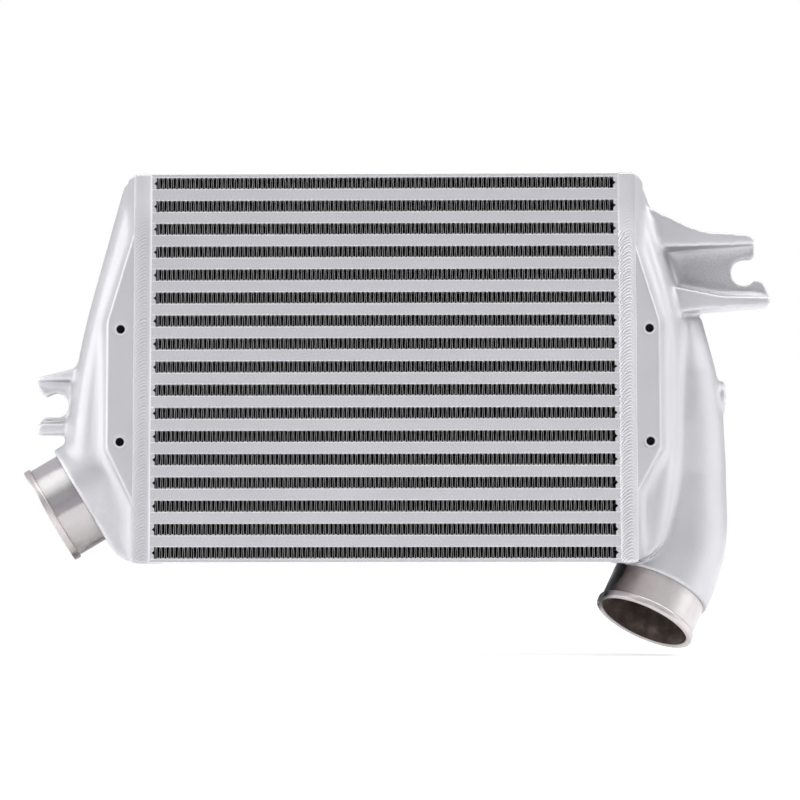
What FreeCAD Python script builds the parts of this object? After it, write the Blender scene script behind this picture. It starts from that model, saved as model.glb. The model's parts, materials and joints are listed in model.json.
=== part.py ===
import FreeCAD, Part
import math
import os

# Bar-and-plate intercooler: a brazed core between two cast aluminium end tanks.
# X runs along the core from the inlet tank to the outlet tank, Y runs into the core from its front
# face, and Z is up. The origin is the centre of the four threaded holes in the front pads.
# All sizes are in millimetres.

V = FreeCAD.Vector

# Core: rows of cooling-air fins with flat charge-air tubes between them
fin_rows = 17
fin_height = 8.1
fin_length = 325.0
fin_folds = 12
fin_sheet = 0.5
fin_setback = 0.8
core_depth = 89.0
tube_inner_height = 7.1
tube_plate = 0.6
tube_face_bar = 6.0
turbulator_folds = 4
turbulator_sheet = 0.6
turbulator_side_gap = 0.4
end_sheet = 2.4
closing_bar = 9.3
closing_bar_groove = 1.8
closing_bar_groove_height = 3.0
core_centre_above_holes = 13.0

# Weld that joins each tank to the core
weld_width = 13.0
weld_crown = 1.3

# Tank castings, both sides
tank_wall = 4.5
shoulder_angle = 11.0
turn_depth = 13.0
turn_setback = 11.7
turn_radius = 15.0
crown_depth = 31.0
crown_radius = 38.0
pad_rim = 6.0
pad_draft_depth = 17.0
pad_draft = 24.0
pad_corner = 5.0

# Threaded holes in the front pads
hole_span = 374.6
hole_pitch = 80.0
hole_radius = 3.0
hole_depth = 8.5

# Necks for the hoses
neck_radius = 35.0
neck_wall = 2.5
neck_length = 26.5
cored_step = 1.0
cored_relief = 2.0
bead_width = 5.0
bead_rise = 1.6
bore_overrun = 1.0

# Front outline of the tanks: how far down the sloping top ends
slope_drop = 50.0

# Inlet tank, on the left
left_reach = 61.0
left_top_reach = 17.0
left_top_round = 15.0
left_slope_reach = 46.0
left_foot_reach = 12.1
left_foot_round = 20.0
left_foot_run = 76.0
left_foot_rise = 60.0
left_lower_level = -85.0
left_lower_bend = 2000.0
left_upper_level = -85.0
left_upper_bend = 590.0
left_lean = 15.1
left_pad_reach = 25.2
left_pad_upper_run = 65.0
left_pad_lower_run = 39.5
inlet_reach = 49.1
inlet_depth = 44.5
inlet_height = -78.0
inlet_drop_angle = 31.2
inlet_lean_angle = 6.3
inlet_collar_rise = 4.5
inlet_collar_length = 46.0

# Outlet tank, on the right, with its collector duct
right_reach = 44.0
right_top_reach = 11.5
right_top_round = 9.0
right_slope_reach = 40.0
right_foot_reach = 30.0
right_foot_round = 30.5
right_foot_rise = 33.0
right_flank_reach = 50.0
right_flank_rise = 53.0
right_lower_level = -10.0
right_lower_bend = 554.0
right_upper_level = 19.0
right_upper_bend = 241.0
right_lean = 17.2
right_pad_reach = 22.6
right_pad_upper_run = 54.0
right_pad_lower_run = 31.0
outlet_reach = 24.1
outlet_depth = 45.9
outlet_height = -145.5
outlet_turn_angle = 26.8
outlet_lean_angle = 18.0
duct_shoulder = 2.0
duct_reach = 39.2
duct_lower_bend = 90.0
duct_knee_level = -62.0
duct_knee_depth = 63.5
duct_knee_bend = 60.0
duct_taper_bend = 340.0
duct_top_level = 52.0
duct_top_depth = 53.0
duct_taper_steps = 3
duct_crown = 9.0
duct_step_level = -15.0
duct_end_level = 25.0
sensor_boss_radius = 12.0
sensor_boss_rise = 4.0
sensor_boss_depth = 20.0
sensor_boss_height = -5.0

# Pads on both tanks reach this far above and below the holes' centre
pad_half_height = 45.0

# Fixing forks. Each outline and pocket lists (reach, rise, corner radius) from the notch's centre.
fork_web = 7.0
left_notch_radius = 8.8
left_notch_reach = 67.3
left_notch_height = -11.2
left_fork_root_depth = 32.0
left_fork_tip_depth = 15.0
left_fork_outline = [
    (-32.0, 30.3, 0),
    (14.2, 20.4, 3),
    (14.2, 13.2, 4.5),
    (9.2, 6.2, 3),
    (0, 6.2, 0),
    (0, -8.4, 0),
    (9.7, -8.4, 4),
    (14.6, -18.8, 3),
    (12.9, -21.4, 1),
    (-32.0, -21.2, 0),
]
left_fork_pocket = [
    (-32.0, 17.6, 0),
    (30.0, 17.6, 0),
    (30.0, -13.1, 0),
    (-32.0, -13.1, 0),
]
right_notch_radius = 9.4
right_notch_reach = 88.6
right_notch_height = 84.6
right_fork_root_depth = 44.0
right_fork_tip_depth = 17.0
right_fork_outline = [
    (-80.0, 50.5, 0),
    (-32.6, 28.8, 60),
    (7.5, 27.4, 6),
    (7.5, 9.4, 3.5),
    (0, 9.4, 0),
    (0, 0, 0),
    (8.3, -5.4, 1),
    (13.6, -6.6, 3.5),
    (17.9, -16.5, 6),
    (17.9, -25.3, 2),
    (-30.4, -28.1, 90),
    (-80.0, -35.0, 0),
]
right_fork_pocket = [
    (-80.0, 15.7, 0),
    (30.0, 20.9, 0),
    (30.0, -17.7, 0),
    (-17.0, -17.9, 60),
    (-80.0, -6.3, 0),
]

# Sizes that follow from the ones above
tube_height = tube_inner_height + 2 * tube_plate
row_pitch = fin_height + tube_height
core_height = fin_rows * fin_height + (fin_rows - 1) * tube_height + 2 * end_sheet
core_top = core_centre_above_holes + core_height / 2
core_bottom = core_centre_above_holes - core_height / 2
half_core = fin_length / 2 + closing_bar
mid_depth = core_depth / 2
inlet_seat = V(-half_core - inlet_reach, inlet_depth, inlet_height)
outlet_seat = V(half_core + outlet_reach, outlet_depth, outlet_height)
bore_radius = neck_radius - neck_wall
cored_radius = bore_radius - cored_step
bore_depth = tank_wall

# Room for trimming tools, where no face of the part ends: past the seam, and all round a tank
seam_overrun = 2 * weld_width
trim_room = core_height


os.makedirs("parts", exist_ok=True)


def export(shape, name):
    shape.exportStep(os.path.join("parts", name + ".step"))


def corner_loop(corners, put):
    """Closed wire through (u, v, radius) corners, each rounded by a tangent arc."""
    flat = [V(u, v, 0) for u, v, radius in corners]
    starts = []
    ends = []
    for i, (u, v, radius) in enumerate(corners):
        here = flat[i]
        back = (flat[i - 1] - here).normalize()
        ahead = (flat[(i + 1) % len(flat)] - here).normalize()
        half_angle = back.getAngle(ahead) / 2
        reach = radius / math.tan(half_angle)
        starts.append(here + back * reach)
        ends.append(here + ahead * reach)
    edges = []
    for i, (u, v, radius) in enumerate(corners):
        if radius > 0:
            toward = ((starts[i] + ends[i]) / 2 - flat[i]).normalize()
            half_angle = (starts[i] - flat[i]).getAngle(ends[i] - flat[i]) / 2
            crown = flat[i] + toward * (radius / math.sin(half_angle) - radius)
            edges.append(Part.Arc(put(starts[i]), put(crown), put(ends[i])).toShape())
        after = starts[(i + 1) % len(flat)]
        if (after - ends[i]).Length > 1e-6:
            edges.append(Part.makeLine(put(ends[i]), put(after)))
    return Part.Wire(edges)


def bar(low, high):
    """Rectangular block between two opposite corners."""
    size = high - low
    return Part.makeBox(size.x, size.y, size.z, low)


# Core


def row_floor(row):
    """Height of the underside of one cooling-air row, counted from the top."""
    return core_top - end_sheet - fin_height - row * row_pitch


def folded_sheet(floor, height, length, folds, sheet, front, back):
    """Sheet folded into a zigzag between two flat plates, straight through from front to back."""
    run = length / folds
    lean = math.atan2(height - sheet, run)
    thick = sheet / 2 / math.cos(lean)
    lower = []
    upper = []
    for i in range(folds + 1):
        x = -length / 2 + i * run
        at_top = i % 2 == 1
        crest = floor + height if at_top else floor
        inner = crest - 2 * thick if at_top else crest + 2 * thick
        upper.append(V(x, front, crest if at_top else inner))
        lower.append(V(x, front, inner if at_top else crest))
    profile = Part.makePolygon(upper + lower[::-1] + upper[:1])
    return Part.Face(profile).extrude(V(0, back - front, 0))


def cooling_fin(row):
    floor = row_floor(row)
    back = core_depth - fin_setback
    return folded_sheet(floor, fin_height, fin_length, fin_folds, fin_sheet, fin_setback, back)


def closing_bars(side):
    """Bars that close the ends of the cooling-air rows, grooved on the side facing the fins."""
    bars = []
    for row in range(fin_rows):
        floor = row_floor(row)
        inner = side * fin_length / 2
        outer = side * half_core
        groove = inner + side * closing_bar_groove
        middle = floor + fin_height / 2
        corners = [
            V(inner, 0, floor),
            V(outer, 0, floor),
            V(outer, 0, floor + fin_height),
            V(inner, 0, floor + fin_height),
            V(inner, 0, middle + closing_bar_groove_height / 2),
            V(groove, 0, middle),
            V(inner, 0, middle - closing_bar_groove_height / 2),
            V(inner, 0, floor),
        ]
        bars.append(Part.Face(Part.makePolygon(corners)).extrude(V(0, core_depth, 0)))
    return Part.Compound(bars)


def charge_tube(row):
    """Flat tube: two plates brazed to a bar along the front and one along the back."""
    floor = row_floor(row) - tube_height
    outside = bar(V(-half_core, 0, floor), V(half_core, core_depth, floor + tube_height))
    low = V(-half_core, tube_face_bar, floor + tube_plate)
    high = V(half_core, core_depth - tube_face_bar, floor + tube_height - tube_plate)
    return outside.cut(bar(low, high))


def turbulator(row):
    """Turbulator inside a flat tube, folded so that the charge air runs along it."""
    floor = row_floor(row) - tube_height + tube_plate
    width = core_depth - 2 * (tube_face_bar + turbulator_side_gap)
    folds = turbulator_folds
    sheet = folded_sheet(floor, tube_inner_height, width, folds, turbulator_sheet, -half_core, half_core)
    sheet.rotate(V(0, 0, 0), V(0, 0, 1), 90)
    sheet.translate(V(0, mid_depth, 0))
    return sheet


def end_plate(floor):
    return bar(V(-half_core, 0, floor), V(half_core, core_depth, floor + end_sheet))


def weld_bead(side):
    """Crowned bead that runs all round the joint between core and tank, mitred at its corners."""
    seam = side * half_core
    half = weld_width / 2

    def crowned(low, high, put):
        near = Part.Arc(put(-half, low), put(0, low - weld_crown), put(half, low)).toShape()
        far = Part.Arc(put(half, high), put(0, high + weld_crown), put(-half, high)).toShape()
        right = Part.makeLine(put(half, low), put(half, high))
        left = Part.makeLine(put(-half, high), put(-half, low))
        return Part.Face(Part.Wire([near, right, far, left]))

    under = core_bottom - weld_crown
    upright = crowned(0, core_depth, lambda x, y: V(seam + x, y, under))
    upright = upright.extrude(V(0, 0, core_height + 2 * weld_crown))
    level = crowned(core_bottom, core_top, lambda x, z: V(seam + x, -weld_crown, z))
    level = level.extrude(V(0, core_depth + 2 * weld_crown, 0))
    inside = bar(V(seam - half, 0, core_bottom), V(seam + half, core_depth, core_top))
    return upright.common(level).cut(inside)


# Tank castings


def carried(face, legs):
    """Solid left by a face carried along straight legs and round bends."""
    pieces = []
    for kind, *leg in legs:
        if kind == "straight":
            pieces.append(face.extrude(leg[0]))
            face = face.translated(leg[0])
        else:
            centre, axis, angle = leg
            pieces.append(face.revolve(centre, axis, angle))
            face = face.copy()
            face.rotate(centre, axis, angle)
    return pieces[0].multiFuse(pieces[1:]).removeSplitter()


def tank_section(side, reach, level, inset):
    """Level section of a tank: sloping shoulders, then a side rounded outside and angular inside."""
    inner = reach + seam_overrun
    shoulder = turn_depth - (inner - turn_setback) * math.tan(math.radians(shoulder_angle))
    rounded = 1 if inset == 0 else 0
    crown_turn = math.atan2(turn_setback, crown_depth - turn_depth)
    crown_fit = (mid_depth - crown_depth) / math.tan(crown_turn / 2)
    crown = min(crown_radius, crown_fit)
    corners = [
        (inner, shoulder, 0),
        (turn_setback, turn_depth, rounded * turn_radius),
        (0, crown_depth, rounded * crown),
        (0, core_depth - crown_depth, rounded * crown),
        (turn_setback, core_depth - turn_depth, rounded * turn_radius),
        (inner, core_depth - shoulder, 0),
    ]
    loop = corner_loop(corners, lambda p: V(side * (half_core + reach - p.x), p.y, level))
    face = Part.Face(loop)
    if inset > 0:
        face = Part.Face(face.makeOffset2D(-inset, 2).OuterWire)
    return face


def tank_body(side, course, inset):
    """Body of a tank: its section carried up and down a side that bows inward at both ends."""
    reach, lower_level, lower_bend, upper_level, upper_bend, lean = course
    across = V(0, 1, 0)
    upper_centre = V(side * (half_core + reach - upper_bend), 0, upper_level)
    lower_centre = V(side * (half_core + reach - lower_bend), 0, lower_level)
    lean_way = V(-side * math.sin(math.radians(lean)), 0, math.cos(math.radians(lean)))
    drop = lower_level - core_bottom + seam_overrun
    lower_turn = math.degrees(math.asin(drop / (lower_bend - reach - seam_overrun)))
    upward = [("bend", upper_centre, across, -side * lean), ("straight", lean_way * core_height)]
    if upper_level > lower_level:
        upward.insert(0, ("straight", V(0, 0, upper_level - lower_level)))
    section = tank_section(side, reach, lower_level, inset)
    downward = [("bend", lower_centre, across, side * lower_turn)]
    return carried(section, upward).fuse(carried(section, downward)).removeSplitter()


def front_prism(corners, side, inset):
    """Front outline of a casting, drawn (reach, height, radius), as a slab through the core's depth."""
    loop = corner_loop(corners, lambda p: V(side * (half_core + p.x), 0, p.y))
    face = Part.Face(loop)
    if inset > 0:
        face = Part.Face(face.makeOffset2D(-inset).OuterWire)
    return face.extrude(V(0, core_depth, 0))


def pad(side, reach, top_start, top_end, low_end, low_start, front):
    """Flat pad raised from the shoulder, with drafted edges that widen away from its face."""
    spread = pad_draft_depth * math.tan(math.radians(pad_draft))
    inward = 1 if front else -1
    face_y = 0 if front else core_depth

    def level(depth, grow):
        corners = [
            (0, core_bottom, 0),
            (pad_rim + grow, core_bottom, 0),
            (pad_rim + grow, low_start, pad_corner),
            (reach + grow, low_end, pad_corner),
            (reach + grow, top_end, pad_corner),
            (pad_rim + grow, top_start, pad_corner),
            (pad_rim + grow, core_top, 0),
            (0, core_top, 0),
        ]
        return corner_loop(corners, lambda p: V(side * (half_core + p.x), face_y + inward * depth, p.y))

    return Part.makeLoft([level(0, 0), level(pad_draft_depth, spread)], True, True)


def threaded_holes(side):
    """Blind holes from the pad's face."""
    rises = (-hole_pitch / 2, hole_pitch / 2)
    starts = [V(side * hole_span / 2, 0, rise) for rise in rises]
    return Part.Compound([Part.makeCylinder(hole_radius, hole_depth, start, V(0, 1, 0)) for start in starts])


def turned(profile, seat, axis):
    """Solid of revolution of an (along, radius) profile about an axis through its seat."""
    points = [V(radius, 0, along) for along, radius in profile]
    face = Part.Face(Part.makePolygon(points + points[:1]))
    solid = face.revolve(V(0, 0, 0), V(0, 0, 1), 360)
    solid.Placement = FreeCAD.Placement(seat, FreeCAD.Rotation(V(0, 0, 1), axis))
    return solid


def neck(seat, axis):
    """Machined hose neck: plain tube with a raised bead at the mouth."""
    bead_start = neck_length - bead_width
    bead_top = neck_radius + bead_rise
    profile = [
        (-bore_depth, bore_radius),
        (-bore_depth, neck_radius),
        (bead_start, neck_radius),
        (bead_start, bead_top),
        (neck_length, bead_top),
        (neck_length, bore_radius),
    ]
    return turned(profile, seat, axis)


def neck_bore(seat, axis):
    """Machined bore of a neck, with a cone that leads from it into the cored passage."""
    mouth = neck_length + bore_overrun
    profile = [
        (-bore_depth - cored_relief, 0),
        (-bore_depth - cored_relief, cored_radius),
        (-bore_depth, bore_radius),
        (mouth, bore_radius),
        (mouth, 0),
    ]
    return turned(profile, seat, axis)


def hose_axis(side_angle, lean_angle):
    """Direction out of a neck: turned toward -X from straight down, then leaned toward the front."""
    flat = math.cos(math.radians(lean_angle))
    turn = math.radians(side_angle)
    return V(-math.sin(turn) * flat, -math.sin(math.radians(lean_angle)), -math.cos(turn) * flat)


def fork(side, notch, notch_radius, outline, pocket_outline, depths):
    """Cast lug with an I section, slotted at its free end and deeper at its root."""
    root_depth, tip_depth = depths
    centre = V(side * (half_core + notch[0]), 0, notch[1])

    def put(p):
        return centre + V(side * p.x, 0, p.y)

    reaches = [u for u, v, radius in outline]
    heights = [v for u, v, radius in outline]
    plate = Part.Face(corner_loop(outline, put)).extrude(V(0, core_depth, 0))
    low = V(0, min(heights), 0)
    root = V(min(reaches), 0, 0)
    tip = V(max(reaches), 0, 0)
    plan = [
        put(root + low) + V(0, mid_depth - root_depth / 2, 0),
        put(tip + low) + V(0, mid_depth - tip_depth / 2, 0),
        put(tip + low) + V(0, mid_depth + tip_depth / 2, 0),
        put(root + low) + V(0, mid_depth + root_depth / 2, 0),
    ]
    taper = Part.Face(Part.makePolygon(plan + plan[:1])).extrude(V(0, 0, max(heights) - min(heights)))
    lug = plate.common(taper)
    pocket_face = Part.Face(corner_loop(pocket_outline, put))
    front_depth = mid_depth - fork_web / 2
    back_start = V(0, mid_depth + fork_web / 2, 0)
    pocket_front = pocket_face.extrude(V(0, front_depth, 0))
    pocket_back = pocket_face.extrude(V(0, front_depth, 0)).translated(back_start)
    bush = Part.makeCylinder(notch_radius, core_depth, centre, V(0, 1, 0))
    return lug.cut([pocket_front, pocket_back, bush])


def left_fork():
    notch = (left_notch_reach, left_notch_height)
    depths = (left_fork_root_depth, left_fork_tip_depth)
    return fork(-1, notch, left_notch_radius, left_fork_outline, left_fork_pocket, depths)


def right_fork():
    notch = (right_notch_reach, right_notch_height)
    depths = (right_fork_root_depth, right_fork_tip_depth)
    return fork(1, notch, right_notch_radius, right_fork_outline, right_fork_pocket, depths)


def keep_inside(side):
    """Everything outward of the seam, used to hold a casting clear of the core."""
    seam = side * half_core
    end = side * (half_core + trim_room)
    low = V(min(seam, end), -trim_room, core_bottom - trim_room)
    high = V(max(seam, end), core_depth + trim_room, core_top + trim_room)
    return bar(low, high)


def shell_of(side, outline, course):
    """Outer form and inner space of a tank without its pads."""
    keep = keep_inside(side)
    outer = tank_body(side, course, 0).common(front_prism(outline, side, 0)).common(keep)
    space = tank_body(side, course, tank_wall).common(front_prism(outline, side, tank_wall))
    return outer, space.common(keep)


def pads_of(side, outline, reach, upper_run, lower_run):
    """Front and back pads of a tank, trimmed to the tank's front outline."""
    slab = front_prism(outline, side, 0)
    top_start = pad_half_height + upper_run
    low_start = -pad_half_height - lower_run
    levels = (reach, top_start, pad_half_height, -pad_half_height, low_start)
    return [pad(side, *levels, front).common(slab) for front in (True, False)]


def left_tank(axis):
    """Inlet tank with its two pads, collar, neck and fork, cast in one piece."""
    outline = [
        (-seam_overrun, core_top, 0),
        (left_top_reach, core_top, left_top_round),
        (left_slope_reach, core_top - slope_drop, 0),
        (trim_room, core_top - slope_drop, 0),
        (trim_room, core_bottom + left_foot_rise, 0),
        (left_foot_run, core_bottom + left_foot_rise, 0),
        (left_foot_reach, core_bottom, left_foot_round),
        (-seam_overrun, core_bottom, 0),
    ]
    lower = (left_lower_level, left_lower_bend)
    upper = (left_upper_level, left_upper_bend)
    course = (left_reach, *lower, *upper, left_lean)
    body, space = shell_of(-1, outline, course)
    collar_radius = neck_radius + inlet_collar_rise
    body = body.cut(Part.makeCylinder(trim_room, trim_room, inlet_seat, axis))
    space = space.cut(Part.makeCylinder(trim_room, trim_room, inlet_seat - axis * tank_wall, axis))
    keep = keep_inside(-1)
    beside_core = bar(V(-half_core - trim_room, 0, core_bottom), V(-half_core, core_depth, core_top))
    collar = Part.makeCylinder(collar_radius, inlet_collar_length, inlet_seat, axis * -1).common(beside_core)
    pads = pads_of(-1, outline, left_pad_reach, left_pad_upper_run, left_pad_lower_run)
    outer = body.fuse(pads + [collar, neck(inlet_seat, axis), left_fork()])
    passage = Part.makeCylinder(cored_radius, inlet_collar_length - tank_wall, inlet_seat, axis * -1)
    hollow = space.fuse([passage.common(keep), neck_bore(inlet_seat, axis)])
    return outer.cut(hollow).cut(threaded_holes(-1)).removeSplitter()


def bent_legs(points, bends):
    """Legs of a path through points, each inner one rounded by a bend of the given radius."""
    legs = []
    spent = 0
    for i, radius in enumerate(bends):
        before = (points[i + 1] - points[i]).normalize()
        after = (points[i + 2] - points[i + 1]).normalize()
        angle = before.getAngle(after)
        reach = radius * math.tan(angle / 2)
        run = (points[i + 1] - points[i]).Length - spent - reach
        legs.append(("straight", before * run))
        axis = before.cross(after).normalize()
        centre = points[i + 1] - before * reach + axis.cross(before) * radius
        legs.append(("bend", centre, axis, math.degrees(angle)))
        spent = reach
    return legs, points[-2] + after * spent


def duct_radius(along):
    """Radius of the duct at a distance past its knee, where it narrows along an arc."""
    return neck_radius + duct_shoulder - duct_taper_bend + math.sqrt(duct_taper_bend ** 2 - along ** 2)


def duct_points(axis):
    """Corners of the duct's centre line, from the neck's seat through the knee to the top."""
    low = outlet_seat + axis * ((duct_reach - outlet_reach) / axis.x)
    knee = V(half_core + duct_reach, duct_knee_depth, duct_knee_level)
    top = V(half_core + duct_reach, duct_top_depth, duct_top_level)
    return outlet_seat, low, knee, top


def duct(axis):
    """Collector duct: a round pipe that rises from the outlet neck, then narrows toward the fork."""
    seat, low, knee, top = duct_points(axis)
    legs, start = bent_legs([seat, low, knee, top], [duct_lower_bend, duct_knee_bend])
    mouth = Part.makeCircle(duct_radius(0))
    mouth.Placement = FreeCAD.Placement(seat, FreeCAD.Rotation(V(0, 0, 1), axis * -1))
    pipe = carried(Part.Face(Part.Wire(mouth)), legs)
    length = (top - start).Length
    steps = [length * i / duct_taper_steps for i in range(duct_taper_steps + 1)]
    profile = [(0, 0)] + [(along, duct_radius(along)) for along in steps]
    profile += [(length + duct_crown, duct_radius(length) / 2), (length + duct_crown, 0)]
    return pipe.fuse(turned(profile, start, top - start)).removeSplitter()


def duct_passage(axis):
    """Way through the duct: straight cores along the neck and up past the knee, stepped as it narrows."""
    seat, low, knee, top = duct_points(axis)
    up = (knee - low).normalize()
    on = (top - knee).normalize()
    to_step = (duct_step_level - duct_knee_level) / on.z
    to_end = (duct_end_level - duct_knee_level) / on.z
    return [
        Part.makeCylinder(cored_radius, (low - seat).Length, low, axis),
        Part.makeCylinder(cored_radius, (knee - low).Length, low, up),
        Part.makeCylinder(min(cored_radius, duct_radius(to_step) - tank_wall), to_step, knee, on),
        Part.makeCylinder(duct_radius(to_end) - tank_wall, to_end, knee, on),
    ]


def sensor_boss():
    """Round boss on the outward side of the duct."""
    climb = (sensor_boss_height - duct_knee_level) / (duct_top_level - duct_knee_level)
    depth = duct_knee_depth + climb * (duct_top_depth - duct_knee_depth)
    reach = duct_reach + duct_radius(sensor_boss_height - duct_knee_level) - sensor_boss_depth
    start = V(half_core + reach, depth, sensor_boss_height)
    return Part.makeCylinder(sensor_boss_radius, sensor_boss_depth + sensor_boss_rise, start, V(1, 0, 0))


def right_tank(axis):
    """Outlet tank with its two pads, collector duct, sensor boss, neck and fork, cast in one piece."""
    outline = [
        (-seam_overrun, core_top, 0),
        (right_top_reach, core_top, right_top_round),
        (right_slope_reach, core_top - slope_drop, 0),
        (trim_room, core_top - slope_drop, 0),
        (trim_room, core_bottom + right_flank_rise, 0),
        (right_flank_reach, core_bottom + right_flank_rise, 0),
        (right_foot_reach, core_bottom + right_foot_rise, 0),
        (right_foot_reach, core_bottom, right_foot_round),
        (-seam_overrun, core_bottom, 0),
    ]
    lower = (right_lower_level, right_lower_bend)
    upper = (right_upper_level, right_upper_bend)
    course = (right_reach, *lower, *upper, right_lean)
    body, space = shell_of(1, outline, course)
    keep = keep_inside(1)
    pads = pads_of(1, outline, right_pad_reach, right_pad_upper_run, right_pad_lower_run)
    collector = duct(axis).common(keep)
    outer = body.fuse(pads + [collector, sensor_boss(), neck(outlet_seat, axis), right_fork()])
    cores = [passage.common(keep) for passage in duct_passage(axis)]
    hollow = space.fuse(cores + [neck_bore(outlet_seat, axis)])
    return outer.cut(hollow).cut(threaded_holes(1)).removeSplitter()


for row in range(fin_rows):
    export(cooling_fin(row), "cooling_fin_%02d" % (row + 1))
for row in range(fin_rows - 1):
    export(charge_tube(row), "charge_tube_%02d" % (row + 1))
    export(turbulator(row), "turbulator_%02d" % (row + 1))
export(end_plate(core_top - end_sheet), "top_end_sheet")
export(end_plate(core_bottom), "bottom_end_sheet")
export(closing_bars(-1), "left_closing_bars")
export(closing_bars(1), "right_closing_bars")
inlet_axis = hose_axis(90 - inlet_drop_angle, inlet_lean_angle)
outlet_axis = hose_axis(outlet_turn_angle, outlet_lean_angle)
inlet_tank = left_tank(inlet_axis)
outlet_tank = right_tank(outlet_axis)
export(inlet_tank, "inlet_tank")
export(outlet_tank, "outlet_tank")
export(weld_bead(-1).cut([inlet_tank, neck_bore(inlet_seat, inlet_axis)]), "left_weld")
export(weld_bead(1).cut([outlet_tank, neck_bore(outlet_seat, outlet_axis)]), "right_weld")
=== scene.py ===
import bpy
import bmesh
import json
import math
import random
import numpy as np
from functools import partial
from mathutils import Matrix, Vector


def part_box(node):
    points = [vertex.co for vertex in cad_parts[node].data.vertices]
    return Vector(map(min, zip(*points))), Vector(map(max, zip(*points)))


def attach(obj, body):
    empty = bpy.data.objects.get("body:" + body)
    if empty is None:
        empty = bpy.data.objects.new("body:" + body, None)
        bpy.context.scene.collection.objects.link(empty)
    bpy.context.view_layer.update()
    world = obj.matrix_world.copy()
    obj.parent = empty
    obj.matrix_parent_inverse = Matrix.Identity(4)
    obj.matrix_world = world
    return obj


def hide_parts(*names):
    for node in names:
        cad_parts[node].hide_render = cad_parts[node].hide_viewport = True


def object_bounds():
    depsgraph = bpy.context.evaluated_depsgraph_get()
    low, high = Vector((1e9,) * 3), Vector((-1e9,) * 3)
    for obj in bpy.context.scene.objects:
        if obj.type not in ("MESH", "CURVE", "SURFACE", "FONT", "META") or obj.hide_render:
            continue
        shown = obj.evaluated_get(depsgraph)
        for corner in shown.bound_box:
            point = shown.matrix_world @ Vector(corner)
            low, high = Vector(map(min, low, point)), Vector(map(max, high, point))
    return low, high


# Looks of a bar-and-plate intercooler, in metres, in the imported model's own frame:
# X runs along the core, Y runs into it from its front face, Z is up.

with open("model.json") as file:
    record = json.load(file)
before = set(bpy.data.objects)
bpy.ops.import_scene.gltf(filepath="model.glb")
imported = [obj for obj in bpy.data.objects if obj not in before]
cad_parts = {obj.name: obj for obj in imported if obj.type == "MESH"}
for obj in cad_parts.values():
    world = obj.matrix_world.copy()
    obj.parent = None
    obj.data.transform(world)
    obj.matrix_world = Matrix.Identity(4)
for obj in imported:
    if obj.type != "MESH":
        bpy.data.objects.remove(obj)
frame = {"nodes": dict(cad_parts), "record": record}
cad_low, cad_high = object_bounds()
scene = bpy.context.scene
scene.view_settings.view_transform = "Standard"
MM = 0.001

# Places and sizes taken from the frame

core_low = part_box("bottom_end_sheet")[0]
core_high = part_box("top_end_sheet")[1]
core_middle = (core_low.y + core_high.y) / 2
core_reach = (core_high.y - core_low.y) / 2
mounts = {mount["name"]: mount for mount in frame["record"]["mounts"]}
pads = mounts["pad_holes"]["dims"]
NECK_BORE = mounts["outlet_bore"]["dims"]["r_mm"] * MM
BEAD_WIDTH = mounts["outlet_bead"]["dims"]["length_mm"] * MM
HOLE_RADIUS = pads["hole_r_mm"] * MM


def pad_holes(side):
    """Centres of one side's two threaded holes, the lower one first."""
    x = pads["spacing_x_mm"] / 2
    z = pads["spacing_y_mm"] / 2
    return [Vector((-x if side == "inlet" else x, 0, height)) * MM for height in (-z, z)]


# Shader nodes

# The colour sockets of a mix node, which go by number because its other kinds have sockets of the same names
MIX_FACTOR = 0
MIX_FIRST = 6
MIX_SECOND = 7
MIX_RESULT = 2


def new_material(name):
    material = bpy.data.materials.new(name)
    material.use_nodes = True
    material.node_tree.nodes.clear()
    return material, material.node_tree


def add_node(tree, kind, inputs=None, **settings):
    made = tree.nodes.new(kind)
    for key, value in settings.items():
        setattr(made, key, value)
    for key, value in (inputs or {}).items():
        made.inputs[key].default_value = value
    return made


def feed(tree, socket, value):
    """Sets an input to a plain value, or links it to another node's output."""
    if isinstance(value, bpy.types.NodeSocket):
        tree.links.new(value, socket)
    else:
        socket.default_value = value


def finish(tree, shader):
    out = add_node(tree, "ShaderNodeOutputMaterial")
    tree.links.new(shader.outputs[0], out.inputs["Surface"])


def position(tree):
    """Object-space position in metres, which is the model's own frame."""
    return add_node(tree, "ShaderNodeTexCoord").outputs["Object"]


def pointiness(tree):
    """Above a half on outward edges and below it in inward corners."""
    return add_node(tree, "ShaderNodeNewGeometry").outputs["Pointiness"]


def split(tree, vector):
    """The vector's X, Y and Z."""
    made = add_node(tree, "ShaderNodeSeparateXYZ")
    tree.links.new(vector, made.inputs[0])
    return made.outputs


def along_axis(tree, vector, axis):
    dot = add_node(tree, "ShaderNodeVectorMath", operation="DOT_PRODUCT")
    dot.inputs[1].default_value = axis
    tree.links.new(vector, dot.inputs[0])
    return dot.outputs["Value"]


def calculate(tree, operation, first, second=None, clamp=False):
    """One math node, on outputs of other nodes or plain numbers."""
    made = add_node(tree, "ShaderNodeMath", operation=operation, use_clamp=clamp)
    feed(tree, made.inputs[0], first)
    if second is not None:
        feed(tree, made.inputs[1], second)
    return made.outputs[0]


def off_middle(tree, here):
    """Distance from the plane midway between the core's front and back faces."""
    return calculate(tree, "ABSOLUTE", calculate(tree, "SUBTRACT", split(tree, here)["Y"], core_middle))


def noise(tree, vector, scale, detail=3.0, roughness=0.55):
    made = add_node(tree, "ShaderNodeTexNoise", {"Scale": scale, "Detail": detail, "Roughness": roughness})
    tree.links.new(vector, made.inputs["Vector"])
    return made.outputs["Fac"]


def line_noise(tree, value, scale, detail):
    """Noise that changes along one value only, for turned lines."""
    made = add_node(tree, "ShaderNodeTexNoise", {"Scale": scale, "Detail": detail}, noise_dimensions="1D")
    tree.links.new(value, made.inputs["W"])
    return made.outputs["Fac"]


def grey(tone):
    return (tone, tone, tone)


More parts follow.
